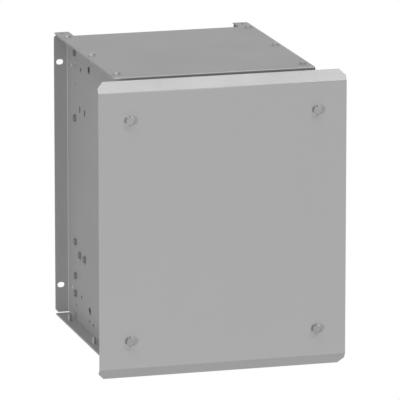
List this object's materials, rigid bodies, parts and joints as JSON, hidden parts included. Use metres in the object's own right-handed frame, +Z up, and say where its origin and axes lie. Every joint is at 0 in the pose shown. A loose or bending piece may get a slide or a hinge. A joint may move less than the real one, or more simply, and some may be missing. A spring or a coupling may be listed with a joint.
{
  "type": "braking resistor",
  "caption": "Wall-mounted braking resistor: ribbon elements on ceramic tubes in a bent sheet steel housing with a raised front cover, air gaps on all sides and cable glands below.",
  "frame": {"origin": "on the wall plane, at the centre of the four wall slots", "axes": "+X to the right as seen from the front, -Y out of the wall towards the viewer, +Z up; the wall is the plane Y = 0"},
  "size_m": [0.41, 0.4449, 0.5041],
  "materials": {
    "housing_steel": "smooth neutral grey coat on bent sheet steel, semi-gloss",
    "cover_steel": "smooth neutral grey coat on bent sheet steel, semi-gloss",
    "guard_steel": "grey coated slotted sheet",
    "bolt_steel": "zinc plated machined hexagon steel",
    "screw_steel": "zinc plated screws and nuts",
    "rack_steel": "bare galvanised sheet steel",
    "rod_steel": "plain rolled steel",
    "core_ceramic": "unglazed off-white ceramic tube",
    "end_ceramic": "glazed white ceramic",
    "ribbon_alloy": "heat tinted resistance alloy ribbon",
    "bar_metal": "tinned flat bar",
    "stud_brass": "turned brass",
    "switch_plastic": "black moulded thermoset",
    "lead_sleeve": "woven glass fibre sleeve",
    "gland_plastic": "dark grey moulded polyamide",
    "seal_rubber": "black soft rubber"
  },
  "bodies": {
    "housing": {"left_side_plate": "housing_steel", "right_side_plate": "housing_steel", "top_plate": "housing_steel", "bottom_plate": "housing_steel", "rear_panel": "housing_steel", "front_guard": "guard_steel", "cover_standoffs": "bolt_steel", "standoff_nuts": "bolt_steel", "top_screws": "screw_steel", "bottom_screws": "screw_steel", "rear_panel_screws": "screw_steel", "rear_panel_nuts": "screw_steel", "rail_screws": "screw_steel", "rail_nuts": "screw_steel", "rack_screws": "screw_steel", "rack_nuts": "screw_steel", "bracket_screws": "screw_steel", "link_screws": "screw_steel", "link_nuts": "screw_steel", "left_rail": "rack_steel", "right_rail": "rack_steel", "left_rack_plate": "rack_steel", "right_rack_plate": "rack_steel", "terminal_bracket": "rack_steel", "element_rods": "rod_steel", "rod_nuts": "rod_steel", "terminal_bands": "rod_steel", "element_core_1": "core_ceramic", "element_core_2": "core_ceramic", "element_core_3": "core_ceramic", "element_core_4": "core_ceramic", "element_core_5": "core_ceramic", "element_core_6": "core_ceramic", "end_insulators": "end_ceramic", "terminal_block": "end_ceramic", "signal_terminal": "end_ceramic", "element_winding_1": "ribbon_alloy", "element_winding_2": "ribbon_alloy", "element_winding_3": "ribbon_alloy", "element_winding_4": "ribbon_alloy", "element_winding_5": "ribbon_alloy", "element_winding_6": "ribbon_alloy", "bus_links": "bar_metal", "input_bar": "bar_metal", "output_bar": "bar_metal", "terminal_studs": "stud_brass", "terminal_nuts": "stud_brass", "earth_stud": "stud_brass", "earth_nuts": "stud_brass", "thermal_switch": "switch_plastic", "switch_leads": "lead_sleeve", "power_gland_body": "gland_plastic", "signal_gland_body": "gland_plastic", "gland_locknuts": "gland_plastic", "gland_seals": "seal_rubber"},
    "cover": {"front_cover": "cover_steel", "cover_bolts": "bolt_steel", "cover_washers": "bolt_steel"},
    "power_nut": {"power_gland_nut": "gland_plastic"},
    "signal_nut": {"signal_gland_nut": "gland_plastic"}
  },
  "joints": [
    {"name": "cover_pull", "type": "slide", "parent": "housing", "child": "cover", "axis": [0, -1, 0], "range_m": [0, 0.12]},
    {"name": "power_gland_turn", "type": "hinge", "parent": "housing", "child": "power_nut", "pos_m": [-0.04, -0.325, -0.25], "axis": [0, 0, 1], "range_deg": [-180, 180]},
    {"name": "signal_gland_turn", "type": "hinge", "parent": "housing", "child": "signal_nut", "pos_m": [0.06, -0.325, -0.25], "axis": [0, 0, 1], "range_deg": [-180, 180]}
  ]
}
